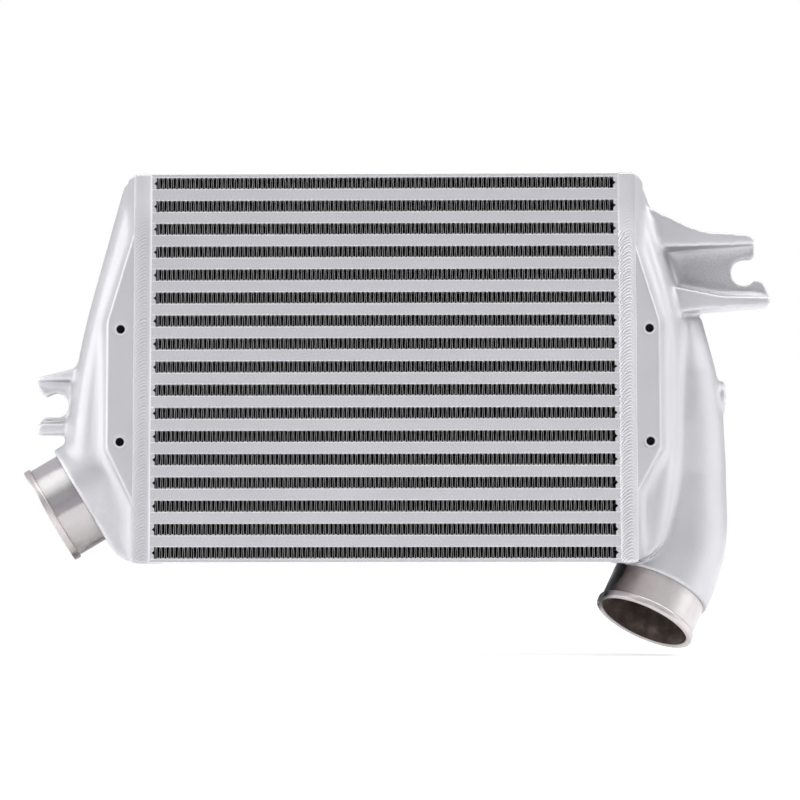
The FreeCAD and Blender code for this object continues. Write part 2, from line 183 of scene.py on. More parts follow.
def ramp(tree, value, stops):
    made = add_node(tree, "ShaderNodeValToRGB")
    elements = made.color_ramp.elements
    while len(elements) < len(stops):
        elements.new(0.5)
    for element, (at, colour) in zip(elements, stops):
        element.position = at
        element.color = (*colour, 1)
    tree.links.new(value, made.inputs["Fac"])
    return made.outputs["Color"]


def remap(tree, value, start, end, first, last, curve="LINEAR"):
    """Takes start to first and end to last, and holds what lies beyond them at first and last."""
    made = add_node(tree, "ShaderNodeMapRange", interpolation_type=curve)
    for key, setting in zip(("From Min", "From Max", "To Min", "To Max"), (start, end, first, last)):
        made.inputs[key].default_value = setting
    tree.links.new(value, made.inputs["Value"])
    return made.outputs["Result"]


def bump(tree, height, strength, distance):
    made = add_node(tree, "ShaderNodeBump", {"Strength": strength, "Distance": distance})
    tree.links.new(height, made.inputs["Height"])
    return made.outputs["Normal"]


def mix_colour(tree, factor, first, second, blend="MIX"):
    """First colour turned into the second by the factor; a plain colour is (red, green, blue)."""
    made = add_node(tree, "ShaderNodeMix", data_type="RGBA", blend_type=blend)
    feed(tree, made.inputs[MIX_FACTOR], factor)
    for number, colour in ((MIX_FIRST, first), (MIX_SECOND, second)):
        feed(tree, made.inputs[number], (*colour, 1) if isinstance(colour, tuple) else colour)
    return made.outputs[MIX_RESULT]


def tint(tree, colour, by):
    return mix_colour(tree, 1.0, colour, by, "MULTIPLY")


# Camera and stage

CAMERA_AT = Vector((30.7, -1564.5, -128.6)) * MM
CAMERA_YAW = -0.73
CAMERA_PITCH = -4.31
CAMERA_ROLL = -0.06
LENS = 100.0
SENSOR = 36.0
CLIP_START = 0.05
CLIP_END = 50
FLOOR_GAP = 4 * MM
FLOOR_HALF = 40.0
# Light that the floor gives off to the camera, at the origin and from the end of the fade outwards
FLOOR_GLOW = 0.66
FLOOR_FADE = (0.15, 1.1)
# Strength of the world's light from the front and from the sides, and the Y of the directions between them
WORLD_FRONT = 0.08
WORLD_SIDE = 0.38
WORLD_TURN = (-0.95, -0.25)
WHITE = (1, 1, 1, 1)
LIGHTS_AIM = Vector((0, 0.05, 0))
# Soft boxes: name, place, width, height, power in watts
SOFT_BOXES = [
    ("left_soft_box", (-1.5, -0.35, 0.2), 1.9, 2.0, 21.5),
    ("right_soft_box", (1.5, 0.1, 0.2), 1.2, 1.6, 6.0),
    ("right_high_box", (1.1, -0.1, 1.0), 1.0, 1.0, 7.5),
    ("top_soft_box", (0.0, -0.3, 1.6), 1.8, 1.2, 16.5),
    ("front_fill", (0.2, -2.2, 0.2), 1.6, 1.6, 7.2),
    ("low_fill", (0.3, -1.0, -0.8), 1.2, 0.5, 4.5),
]


def add_object(name, data):
    made = bpy.data.objects.new(name, data)
    scene.collection.objects.link(made)
    return made


def add_camera():
    """Camera at the photograph's place; the angles turn the object into the camera's axes."""
    turn = Matrix.Rotation(math.radians(CAMERA_ROLL), 3, "Y")
    turn = turn @ Matrix.Rotation(math.radians(CAMERA_PITCH), 3, "X")
    turn = turn @ Matrix.Rotation(math.radians(CAMERA_YAW), 3, "Z")
    right, ahead, up = turn.row
    axes = Matrix((right, up, -ahead)).transposed()
    data = bpy.data.cameras.new("camera")
    data.lens = LENS
    data.sensor_width = SENSOR
    data.clip_start = CLIP_START
    data.clip_end = CLIP_END
    camera = add_object("camera", data)
    camera.matrix_world = Matrix.Translation(CAMERA_AT) @ axes.to_4x4()
    scene.camera = camera


def add_floor():
    """Pale floor, white to the camera and in mirror-like reflections, that keeps a soft shadow."""
    floor_z = cad_low.z - FLOOR_GAP
    mesh = bpy.data.meshes.new("floor")
    corners = [(x * FLOOR_HALF, y * FLOOR_HALF, floor_z) for x, y in ((-1, -1), (1, -1), (1, 1), (-1, 1))]
    mesh.from_pydata(corners, [], [(0, 1, 2, 3)])
    floor = add_object("floor", mesh)
    material, tree = new_material("floor_white")
    grain = add_node(tree, "ShaderNodeTexNoise", {"Scale": 3.0, "Detail": 2.0})
    tone = ramp(tree, grain.outputs["Fac"], [(0.0, grey(0.74)), (1.0, grey(0.76))])
    diffuse = add_node(tree, "ShaderNodeBsdfDiffuse")
    tree.links.new(tone, diffuse.inputs["Color"])
    path = add_node(tree, "ShaderNodeLightPath").outputs
    seen = calculate(tree, "ADD", path["Is Camera Ray"], path["Is Glossy Ray"], clamp=True)
    away = add_node(tree, "ShaderNodeVectorMath", operation="LENGTH")
    tree.links.new(position(tree), away.inputs[0])
    fade = remap(tree, away.outputs["Value"], *FLOOR_FADE, FLOOR_GLOW, 1.0, "SMOOTHSTEP")
    glow = add_node(tree, "ShaderNodeEmission", {"Color": WHITE})
    tree.links.new(calculate(tree, "MULTIPLY", seen, fade), glow.inputs["Strength"])
    both = add_node(tree, "ShaderNodeAddShader")
    tree.links.new(diffuse.outputs[0], both.inputs[0])
    tree.links.new(glow.outputs[0], both.inputs[1])
    finish(tree, both)
    mesh.materials.append(material)


def add_world():
    """White where it is seen; as a light it is softer on the front than at the sides and above."""
    world = bpy.data.worlds.new("studio")
    world.use_nodes = True
    tree = world.node_tree
    tree.nodes.clear()
    way = add_node(tree, "ShaderNodeTexCoord").outputs["Generated"]
    spread = remap(tree, split(tree, way)["Y"], *WORLD_TURN, WORLD_FRONT, WORLD_SIDE, "SMOOTHSTEP")
    path = add_node(tree, "ShaderNodeLightPath").outputs
    seen = calculate(tree, "ADD", path["Is Camera Ray"], path["Is Transmission Ray"], clamp=True)
    back = add_node(tree, "ShaderNodeBackground", {"Color": WHITE})
    tree.links.new(calculate(tree, "MAXIMUM", seen, spread), back.inputs["Strength"])
    out = add_node(tree, "ShaderNodeOutputWorld")
    tree.links.new(back.outputs[0], out.inputs["Surface"])
    scene.world = world


def add_lights():
    for name, at, width, height, power in SOFT_BOXES:
        data = bpy.data.lights.new(name, "AREA")
        data.shape = "RECTANGLE"
        data.size = width
        data.size_y = height
        data.energy = power
        light = add_object(name, data)
        light.location = at
        light.rotation_euler = (LIGHTS_AIM - Vector(at)).to_track_quat("-Z", "Y").to_euler()
        light.visible_camera = False


# Materials

NECK_RADIUS = 35.0 * MM
NECK_LENGTH = 26.5 * MM
# The two tones that each silver paint drifts between
BAR_TONES = ((0.635, 0.63, 0.67), (0.685, 0.68, 0.72))
CAST_TONES = ((0.62, 0.615, 0.65), (0.67, 0.665, 0.70))
# The welds share one paint: the left copy is darker as painted shade and the right copy lighter as painted
# light
LEFT_WELD_SHADED_TONES = ((0.59, 0.585, 0.62), (0.64, 0.635, 0.67))
RIGHT_WELD_LIT_TONES = ((0.77, 0.765, 0.80), (0.83, 0.825, 0.86))
# Web of the outlet's fork: each of its limits, and the stretch over which its sand and painted shade fade
# there
WEB_HALF = (3.9 * MM, 5.5 * MM)
WEB_ROOT = (212 * MM, 218 * MM)
WEB_FOOT = (61 * MM, 63 * MM)
WEB_HEAD = (108 * MM, 110 * MM)
# Depth behind the pads' face over which their painted shade ends
PAD_SHADE_DEPTH = (0.15 * MM, 0.5 * MM)
# Burr on a bar's edge: where it starts and is full inside the edge, and where it fades and ends beyond it
RIM_INSIDE = (0.9 * MM, 0.3 * MM)
RIM_BEYOND = (0.02 * MM, 0.1 * MM)
# Other stretches over which a tone changes: on a weld the painted highlight of its toe from its inner side
# outwards and the painted light and shade of its top from the core's top downwards, on a fin from its light
# edge at the core's face inwards to its painted shade, and on a neck before its bead and from its seat
WELD_TOE = (0.4 * MM, 2.2 * MM)
WELD_TOP = (40 * MM, 22 * MM)
FIN_EDGE = (1.2 * MM, 0.7 * MM)
BEAD_START = 0.4 * MM
SEAM_WIDTH = 0.6 * MM


def cast_sand_and_painted_light(tree, here, colour):
    """Sandy web on the outlet's fork that is also darker as painted shade in its recess, painted shade on the
    pads' faces, painted highlights on outward edges, and painted shade in inward corners.
    """
    sides = split(tree, here)
    web = remap(tree, off_middle(tree, here), *WEB_HALF, 1.0, 0.0)
    for value, limit, first, last in (
        (sides["X"], WEB_ROOT, 0.0, 1.0),
        (sides["Z"], WEB_FOOT, 0.0, 1.0),
        (sides["Z"], WEB_HEAD, 1.0, 0.0),
    ):
        web = calculate(tree, "MULTIPLY", web, remap(tree, value, *limit, first, last))
    # Sandy grain on the fork's web, which also makes it darker as painted shade of its recess
    sand = ramp(tree, noise(tree, here, 1000.0, 4.0, 0.7), [(0.3, grey(0.60)), (0.7, grey(0.92))])
    colour = mix_colour(tree, web, colour, tint(tree, colour, sand))
    # Painted shade on the pads' front faces
    pad_shade = remap(tree, sides["Y"], *PAD_SHADE_DEPTH, 1.0, 0.0)
    colour = mix_colour(tree, pad_shade, colour, tint(tree, colour, grey(0.90)))
    # Painted highlights along outward edges
    edge_highlight = ramp(tree, pointiness(tree), [(0.508, grey(1.0)), (0.56, grey(1.30))])
    colour = tint(tree, colour, edge_highlight)
    # Painted shade in inward corners and creases, taken from ambient occlusion
    occlusion = add_node(tree, "ShaderNodeAmbientOcclusion", {"Distance": 0.06}, samples=6)
    corner_shade = ramp(tree, occlusion.outputs["AO"], [(0.32, grey(0.62)), (0.84, grey(1.0))])
    return tint(tree, colour, corner_shade)


def row_rims(tree, here, colour):
    """Light burrs along the bars' edges, where the fins' crests are brazed on."""
    low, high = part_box("charge_tube_01")
    pitch = abs(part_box("charge_tube_02")[0].z - low.z)
    half = (high.z - low.z) / 2
    shifted = calculate(tree, "SUBTRACT", split(tree, here)["Z"], (low.z + high.z) / 2)
    off = calculate(tree, "PINGPONG", shifted, pitch / 2)
    rim = remap(tree, off, half - RIM_INSIDE[0], half - RIM_INSIDE[1], 0.0, 1.0)
    inside = remap(tree, off, half + RIM_BEYOND[0], half + RIM_BEYOND[1], 1.0, 0.0)
    crests = remap(tree, noise(tree, here, 620.0, 1.0), 0.35, 0.6, 0.25, 1.0)
    amount = calculate(tree, "MULTIPLY", calculate(tree, "MULTIPLY", rim, inside), crests)
    return mix_colour(tree, amount, colour, (0.86, 0.86, 0.89))


def ridge_light(tree, here, colour, top_light_tone):
    """Painted highlights on a weld's ridges and painted shade in its valleys, a painted highlight on its toe
    beside the core, and its top multiplied by the given tone as painted light and shade.
    """
    # Painted highlights on the ridges and painted shade in the valleys
    ridges = ramp(tree, pointiness(tree), [(0.45, grey(0.84)), (0.50, grey(1.0)), (0.54, grey(1.20))])
    colour = tint(tree, colour, ridges)
    sides = split(tree, here)
    reach = calculate(tree, "ABSOLUTE", sides["X"])
    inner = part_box("right_weld")[0].x
    # Painted highlight on the toe beside the core
    toe = remap(tree, reach, inner + WELD_TOE[0], inner + WELD_TOE[1], 0.9, 0.0)
    colour = mix_colour(tree, toe, colour, (0.98, 0.98, 1.0))
    # Painted light and shade on the weld's top
    top = remap(tree, sides["Z"], core_high.z - WELD_TOP[0], core_high.z - WELD_TOP[1], 0.0, 1.0)
    return mix_colour(tree, top, colour, tint(tree, colour, grey(top_light_tone)))


def silver_paint(name, tones, grain, skin, wear_and_light):
    """Fine metallic paint: flakes, slow drift of tone, the soft skin of what is under it, and the marks and
    painted light and shade that the last function adds.
    """
    material, tree = new_material(name)
    inputs = {"Metallic": 0.33, "Coat Weight": 0.24, "Coat Roughness": 0.25}
    shader = add_node(tree, "ShaderNodeBsdfPrincipled", inputs)
    here = position(tree)
    tone = ramp(tree, noise(tree, here, 14.0, 2.0), [(0.3, tones[0]), (0.7, tones[1])])
    flakes = noise(tree, here, 2600.0, 1.0)
    speck = ramp(tree, flakes, [(0.30, grey(1 - grain)), (0.70, grey(1 + grain * 0.5))])
    colour = wear_and_light(tree, here, tint(tree, tone, speck))
    tree.links.new(colour, shader.inputs["Base Color"])
    roughness = remap(tree, noise(tree, here, 60.0), 0.3, 0.7, 0.37, 0.46)
    tree.links.new(roughness, shader.inputs["Roughness"])
    tree.links.new(bump(tree, noise(tree, here, 420.0, 4.0), skin, 0.6 * MM), shader.inputs["Normal"])
    finish(tree, shader)
    return material


def shaded_fin_metal():
    """Bare folded strip: light cut edges in front and at the back, and near-black painted shade deep inside
    the core between them.
    """
    material, tree = new_material("shaded_fin_metal")
    shader = add_node(tree, "ShaderNodeBsdfPrincipled", {"Metallic": 0.0, "Specular IOR Level": 0.08})
    here = position(tree)
    far = off_middle(tree, here)
    near_face = remap(tree, far, core_reach - FIN_EDGE[0], core_reach - FIN_EDGE[1], 0.0, 1.0)
    patch = noise(tree, here, 240.0)
    edge = ramp(tree, patch, [(0.3, (0.40, 0.40, 0.41)), (0.7, (0.66, 0.66, 0.67))])
    # Near-black painted shade deep inside the core
    deep = ramp(tree, patch, [(0.3, grey(0.003)), (0.7, grey(0.010))])
    tree.links.new(mix_colour(tree, near_face, deep, edge), shader.inputs["Base Color"])
    tree.links.new(remap(tree, patch, 0.3, 0.7, 0.55, 0.7), shader.inputs["Roughness"])
    tree.links.new(bump(tree, patch, 0.2, 0.1 * MM), shader.inputs["Normal"])
    finish(tree, shader)
    return material


def turned_metal(name, axis, seat, across, light_bands):
    """Bare casting turned on a lathe: fine rings, a faint brown stain, stripes of painted reflection,
    highlight and shade across it, and a light bead.
    """
    material, tree = new_material(name)
    shader = add_node(tree, "ShaderNodeBsdfPrincipled", {"Metallic": 0.60, "Specular IOR Level": 0.12})
    here = position(tree)
    along = along_axis(tree, here, axis)
    rings = line_noise(tree, along, 2600.0, 3.0)
    stain = noise(tree, here, 38.0, 4.0, 0.6)
    browns = [(0.28, (0.80, 0.76, 0.75)), (0.5, (0.93, 0.91, 0.91)), (0.72, (1.0, 0.99, 0.99))]
    base = ramp(tree, stain, browns)
    shade = ramp(tree, rings, [(0.3, grey(0.86)), (0.7, grey(1.05))])
    middle = seat.dot(across)
    place = remap(tree, along_axis(tree, here, across), middle - NECK_RADIUS, middle + NECK_RADIUS, 0.0, 1.0)
    wobble = remap(tree, noise(tree, here, 55.0, 3.0), 0.2, 0.8, -0.03, 0.03)
    # Painted reflections, highlights and shade in stripes across the neck
    tone = ramp(tree, calculate(tree, "ADD", place, wobble), light_bands)
    root = seat.dot(axis)
    bead = root + (NECK_LENGTH - BEAD_WIDTH)
    on_bead = remap(tree, along, bead - BEAD_START, bead, 0.0, 1.0)
    past_edge = remap(tree, place, 0.02, 0.09, 0.0, 0.8)
    tone = mix_colour(tree, calculate(tree, "MULTIPLY", on_bead, past_edge), tone, (0.74, 0.70, 0.70))
    up_seam = remap(tree, along, root, root + SEAM_WIDTH, 0.0, 1.0)
    tone = tint(tree, tone, ramp(tree, up_seam, [(0.0, grey(0.35)), (1.0, grey(1.0))]))
    tree.links.new(tint(tree, tint(tree, base, shade), tone), shader.inputs["Base Color"])
    tree.links.new(remap(tree, stain, 0.3, 0.7, 0.42, 0.32), shader.inputs["Roughness"])
    tree.links.new(bump(tree, rings, 0.35, 0.06 * MM), shader.inputs["Normal"])
    finish(tree, shader)
    return material


def raw_casting(name, level):
    """Unpainted, sand-cast inside: brown and grainy, with a few lighter scrapes; level scales its tones."""
    material, tree = new_material(name)
    shader = add_node(tree, "ShaderNodeBsdfPrincipled", {"Metallic": 0.35})
    here = position(tree)
    grains = noise(tree, here, 900.0, 4.0, 0.65)
    patch = noise(tree, here, 90.0, 4.0, 0.6)
    stops = [(0.3, (0.070, 0.052, 0.045)), (0.55, (0.14, 0.105, 0.092)), (0.75, (0.28, 0.22, 0.20))]
    base = ramp(tree, patch, [(at, tuple(level * part for part in colour)) for at, colour in stops])
    speck = ramp(tree, grains, [(0.3, grey(0.7)), (0.7, grey(1.15))])
    tree.links.new(tint(tree, base, speck), shader.inputs["Base Color"])
    tree.links.new(remap(tree, grains, 0.3, 0.7, 0.5, 0.75), shader.inputs["Roughness"])
    tree.links.new(bump(tree, grains, 0.5, 0.3 * MM), shader.inputs["Normal"])
    finish(tree, shader)
    return material


# Mesh helpers

LATHE_SHARP = 30


def new_piece(name, mesh, replaced):
    piece = add_object(name, mesh)
    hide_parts(*replaced)
    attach(piece, "root")
    return piece


def closed_rings(name, vertices, count, sharp_degrees):
    """Mesh of closed loops of count points each, every loop joined to the next and the last to the first."""
    rings = len(vertices) // count
    faces = []
    for i in range(rings):
        this = i * count
        after = ((i + 1) % rings) * count
        for j in range(count):
            k = (j + 1) % count
            faces.append((this + j, this + k, after + k, after + j))
    mesh = bpy.data.meshes.new(name)
    mesh.from_pydata(vertices, [], faces)
    shape = bmesh.new()
    shape.from_mesh(mesh)
    bmesh.ops.recalc_face_normals(shape, faces=shape.faces)
    shape.to_mesh(mesh)
    shape.free()
    mesh.shade_smooth()
    mesh.set_sharp_from_angle(angle=math.radians(sharp_degrees))
    return mesh


def lathe(name, profile, seat, axis, steps, replaced):
    """Closed ring of the (along, radius) profile turned about the axis through the seat."""
    axis = Vector(axis).normalized()
    across = axis.orthogonal().normalized()
    other = axis.cross(across)
    vertices = []
    for i in range(steps):
        angle = 2 * math.pi * i / steps
        out = across * math.cos(angle) + other * math.sin(angle)
        vertices += [seat + axis * along + out * radius for along, radius in profile]
    return new_piece(name, closed_rings(name, vertices, len(profile), LATHE_SHARP), replaced)


def evaluated(piece, name):
    """New mesh of the piece as its modifiers leave it."""
    bpy.context.view_layer.update()
    depsgraph = bpy.context.evaluated_depsgraph_get()
    made = bpy.data.meshes.new_from_object(piece.evaluated_get(depsgraph))
    made.name = name
    return made


def read_vectors(items, attribute):
    """The items' vectors, one row each."""
    values = np.zeros(len(items) * 3)
    items.foreach_get(attribute, values)
    return values.reshape(-1, 3)


def from_axis(points, centre, axis):
    """Each point's offset from the centre, its run along the axis and its distance from the axis."""
    away = points - np.array(centre)
    along = away @ np.array(axis)
    radial = np.sqrt(np.maximum(np.sum(away * away, axis=1) - along * along, 0))
    return away, along, radial


# Cooling fins

FIN_PITCH = 1.6 * MM
FIN_CREST = 0.72 * MM
# In pitches: how far the outer strips' walls are moved to stand in pairs, a wall's lean from foot to crest,
# its wander along the row, its bow halfway up, and the room that the last wall leaves at the row's end
FIN_PAIRING = 0.13
FIN_LEAN = 0.06
FIN_WANDER = 0.09
FIN_BOW = 0.10
FIN_END = 0.6
# Turn of the wander from one wall to the next, in radians
FIN_SWING = 0.9
# Strips one behind the other: share of the depth, shift in pitches, and sheet; the inner ones stand for
# louvred walls, which let no light straight through
FIN_STRIPS = [
    (0.16, 0.0, 0.30 * MM),
    (0.23, 0.25, 0.90 * MM),
    (0.22, 0.75, 0.90 * MM),
    (0.23, 0.25, 0.90 * MM),
    (0.16, 0.0, 0.30 * MM),
]


def fin_row(name, seed, material):
    """Folded and offset fin strip at its real pitch, filling one row between two tubes."""
    low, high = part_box(name)
    draw = random.Random(seed)
    walls = int(round((high.x - low.x) / FIN_PITCH)) - 1
    pitch = (high.x - low.x) / (walls + 1)
    thick = FIN_CREST / 2
    bottom = low.z + thick
    top = high.z - thick
    swing = draw.uniform(0, 6.28)
    wander = []
    for i in range(walls + 1):
        wander.append(FIN_WANDER * pitch * math.sin(i * FIN_SWING + swing) * draw.uniform(0.3, 1.0))
    bow = [draw.uniform(-FIN_BOW, FIN_BOW) * pitch for i in range(walls + 1)]
    vertices = []
    faces = []
    front = low.y
    for strip, (share, offset, sheet) in enumerate(FIN_STRIPS):
        back = front + share * (high.y - low.y)
        shift = offset * pitch
        outer = strip in (0, len(FIN_STRIPS) - 1)
        left_side = []
        right_side = []
        for i in range(walls):
            foot = low.x + (i + 0.5) * pitch + shift + wander[i]
            rising = i % 2 == 0
            z_start, z_end = (bottom, top) if rising else (top, bottom)
            turn = -sheet / 2 if rising else sheet / 2
            if foot + pitch * FIN_END > high.x:
                continue
            if outer:
                foot += FIN_PAIRING * pitch * (1 if rising else -1)
            stations = [(foot - FIN_LEAN * pitch, z_start, thick), (foot + FIN_LEAN * pitch, z_end, thick)]
            if outer:
                stations.insert(1, (foot + bow[i], (bottom + top) / 2, 0))
            left_side += [(x + turn, z + rise) for x, z, rise in stations]
            right_side += [(x - turn, z - rise) for x, z, rise in stations]
        first = len(vertices)
        for pair in zip(left_side, right_side):
            for y in (front, back):
                vertices += [(x, y, min(max(z, low.z), high.z)) for x, z in pair]
        last = first + 4 * (len(left_side) - 1)
        for a in range(first, last, 4):
            b = a + 4
            faces += [(a, b, b + 1, a + 1), (a + 2, a + 3, b + 3, b + 2)]
            faces += [(a, a + 2, b + 2, b), (a + 1, b + 1, b + 3, a + 3)]
        faces += [(first, first + 1, first + 3, first + 2), (last, last + 2, last + 3, last + 1)]
        front = back
    mesh = bpy.data.meshes.new("folded_" + name)
    mesh.from_pydata(vertices, [], faces)
    mesh.materials.append(material)
    new_piece("folded_" + name, mesh, [name])


# Welds

# Fineness of the mesh: its step along the bead, its steps across, and the angle of a step round a corner
WELD_STEP = 0.45 * MM
WELD_ACROSS = 34
WELD_CORNER_STEP = 15
WELD_CORNER = 1.2 * MM
WELD_UNDER = 0.7 * MM
WELD_PITCH = 2.3 * MM
# Where the ripples' arcs have their apex across the bead, which goes from -1 to 1
WELD_APEX = 0.32
# In pitches: the ripples' reach along the bead, and their unevenness
WELD_ARC = 2.8
WELD_WAVER = 0.175
# Shares of the crown: the plain body and the ripples on it
WELD_BODY = 0.62
WELD_RIPPLE = 0.70
# Powers that shape the body's section, the ripples' arcs and their slope, and that slope's level
SECTION_POWER = 2.4
ARC_POWER = 1.6
SLOPE_POWER = 1.6
SLOPE_LEVEL = 0.38
# The ripples rise this steeply from the bead's edges, and fade across it from here on, at this rate and down
# to this share
RIPPLE_START = 5.0
FADE_FROM = 0.1
FADE_RATE = 0.9
FADE_LEAST = 0.35
# Shares of half the width by which the edges follow the ripples and wander, and how fast they wander
EDGE_RIPPLE = 0.015
EDGE_WANDER = 0.02
EDGE_RATE = 61.0
# The front's upper end is dressed flatter: how far down from the core's top only the least share of the
# ripples is left, and the height below that over which they come back
DRESSED_FROM = 24 * MM
DRESSED_OVER = 22 * MM
DRESSED_LEAST = 0.12
WELD_SHARP = 60


def ring_path():
    """Points round the core's edge as ((y, z), outward direction, run from the start), and the whole run."""
    r = WELD_CORNER
    front, back = core_low.y + r, core_high.y - r
    bottom, top = core_low.z + r, core_high.z - r
    corners = []
    for k, (y, z) in enumerate(((back, top), (front, top), (front, bottom), (back, bottom))):
        for degrees in range(90 * k, 90 * k + 91, WELD_CORNER_STEP):
            angle = math.radians(degrees)
            out = (math.cos(angle), math.sin(angle))
            corners.append(((y + r * out[0], z + r * out[1]), out))
    dense = []
    run = 0.0
    for (start, out_start), (end, out_end) in zip(corners, corners[1:] + corners[:1]):
        gap = math.dist(start, end)
        steps = max(1, int(gap / WELD_STEP))
        for j in range(steps):
            t = j / steps
            at = (start[0] + (end[0] - start[0]) * t, start[1] + (end[1] - start[1]) * t)
            out = [a + (b - a) * t for a, b in zip(out_start, out_end)]
            size = math.hypot(*out)
            dense.append((at, (out[0] / size, out[1] / size), run + gap * t))
        run += gap
    return dense, run


def weld_ring(name, node, ripple, seed, material):
    """Crowned bead round the joint, with the overlapping ripples that the torch leaves."""
    low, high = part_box(node)
    half = (high.x - low.x) / 2
    middle = (high.x + low.x) / 2
    crown = core_low.y - low.y
    draw = random.Random(seed)
    dense, length = ring_path()
    pitch = length / round(length / WELD_PITCH)
    waver = [draw.uniform(-WELD_WAVER, WELD_WAVER) for i in range(int(length / pitch) + 2)]
    vertices = []
    for (y, z), (out_y, out_z), run in dense:
        dressed = 1.0
        if out_y <= -0.5:
            dressed = min(1.0, max(DRESSED_LEAST, (core_high.z - DRESSED_FROM - z) / DRESSED_OVER))
        cell = run / pitch
        edge = half * (1 - EDGE_RIPPLE * (1 + math.sin(cell * 2 * math.pi)) * ripple * dressed)
        edge *= 1 - EDGE_WANDER * (1 + math.sin(run * EDGE_RATE + seed))
        for j in range(WELD_ACROSS + 1):
            t = -1 + 2 * j / WELD_ACROSS
            body = 1 - abs(t) ** SECTION_POWER
            off_apex = (t - WELD_APEX) / (1 - WELD_APEX if t > WELD_APEX else 1 + WELD_APEX)
            phase = cell + WELD_ARC * (1 - abs(off_apex) ** ARC_POWER) + waver[int(cell) % len(waver)]
            tooth = phase - math.floor(phase)
            wave = tooth ** SLOPE_POWER - SLOPE_LEVEL
            fading = 1.0 if t < FADE_FROM else max(FADE_LEAST, 1.0 - FADE_RATE * (t - FADE_FROM))
            rise = WELD_RIPPLE * ripple * dressed * fading * wave * min(1.0, RIPPLE_START * body)
            height = min(max(crown * (WELD_BODY * body + rise), 0.0), crown)
            vertices.append((middle + edge * t, y + out_y * height, z + out_z * height))
        for t in (1, -1):
            vertices.append((middle + edge * t, y - out_y * WELD_UNDER, z - out_z * WELD_UNDER))
    mesh = closed_rings(name, vertices, WELD_ACROSS + 3, WELD_SHARP)
    mesh.materials.append(material)
    new_piece(name, mesh, [node])


# Tank castings

CAST_DOUBLES = 0.001 * MM
CAST_VOXEL = 1.25 * MM
CAST_QUADS = 95000
# Rounds of smoothing for the outward edges, for the fillets and for the fillets' ends
CAST_EDGE_ROUNDS = 5
CAST_FILLET_ROUNDS = 90
CAST_END_ROUNDS = 2
CAST_FILLET_MOST = 2.2 * MM
# Places without a fillet: their radius about the axis of a bore, a fork's notch and a threaded hole, and how
# far beyond it the fillets grow
SHARP_BORE = 30 * MM
SHARP_NOTCH = 11 * MM
SHARP_HOLE = 4 * MM
SHARP_FADE = 4 * MM
# The neck's cutter starts just off its seat, and a drill's middle lies this far behind the pad's face
CUTTER_RADIUS = 37.5 * MM
CUTTER_LENGTH = 60 * MM
CUTTER_GAP = 0.4 * MM
DRILL_RADIUS = 3.6 * MM
DRILL_LENGTH = 12 * MM
DRILL_MIDDLE = 4 * MM
# The raw inside behind a neck: how far from the axis it lies, and from where to where along it
RAW_RADIUS = 40 * MM
RAW_FROM = -60 * MM
RAW_TO = 1 * MM


def relaxed(points, edges, rounds):
    """Points moved halfway to the mean of their neighbours, again and again."""
    count = len(points)
    ends = np.concatenate((edges[:, 0], edges[:, 1]))
    others = np.concatenate((edges[:, 1], edges[:, 0]))
    number = np.maximum(np.bincount(ends, minlength=count), 1)
    for i in range(rounds):
        mean = np.stack([np.bincount(ends, points[others, k], count) / number for k in range(3)], axis=1)
        points = (points + mean) / 2
    return points


def cast_edges(mesh, keep_sharp):
    """Small rounds on outward edges and larger fillets in inward corners, as a mould leaves them."""
    edges = np.zeros(len(mesh.edges) * 2, np.int32)
    mesh.edges.foreach_get("vertices", edges)
    edges = edges.reshape(-1, 2)
    light = relaxed(read_vectors(mesh.vertices, "co"), edges, CAST_EDGE_ROUNDS)
    heavy = relaxed(light, edges, CAST_FILLET_ROUNDS)
    mesh.vertices.foreach_set("co", light.ravel())
    mesh.update()
    normals = read_vectors(mesh.vertex_normals, "vector")
    fill = np.clip(np.sum((heavy - light) * normals, axis=1), 0, CAST_FILLET_MOST)
    for centre, axis, radius in keep_sharp:
        away, along, radial = from_axis(light, centre, axis)
        fill *= np.clip((radial - radius) / SHARP_FADE, 0, 1)
    fill = relaxed(fill[:, None] * np.ones(3), edges, CAST_END_ROUNDS)[:, :1]
    mesh.vertices.foreach_set("co", (light + normals * fill).ravel())
    mesh.update()


def neck_and_hole_cutter(seat, axis, holes):
    shape = bmesh.new()
    bmesh.ops.create_cone(
        shape, cap_ends=True, segments=96, radius1=CUTTER_RADIUS, radius2=CUTTER_RADIUS, depth=CUTTER_LENGTH
    )
    turn = Vector((0, 0, 1)).rotation_difference(axis).to_matrix().to_4x4()
    shape.transform(Matrix.Translation(seat + axis * (CUTTER_LENGTH / 2 + CUTTER_GAP)) @ turn)
    for hole in holes:
        drill = bmesh.ops.create_cone(
            shape, cap_ends=True, segments=48, radius1=DRILL_RADIUS, radius2=DRILL_RADIUS, depth=DRILL_LENGTH
        )
        place = Matrix.Translation(hole + Vector((0, DRILL_MIDDLE, 0))) @ Matrix.Rotation(math.pi / 2, 4, "X")
        bmesh.ops.transform(shape, matrix=place, verts=drill["verts"])
    mesh = bpy.data.meshes.new("cutter")
    shape.to_mesh(mesh)
    shape.free()
    return add_object("cutter", mesh)


def welded_copy(node):
    """The CAD node's mesh as a copy without doubled corners and materials."""
    source = frame["nodes"][node]
    mesh = source.data.copy()
    mesh.transform(source.matrix_world)
    mesh.materials.clear()
    shape = bmesh.new()
    shape.from_mesh(mesh)
    bmesh.ops.remove_doubles(shape, verts=shape.verts, dist=CAST_DOUBLES)
    shape.to_mesh(mesh)
    shape.free()
    return mesh


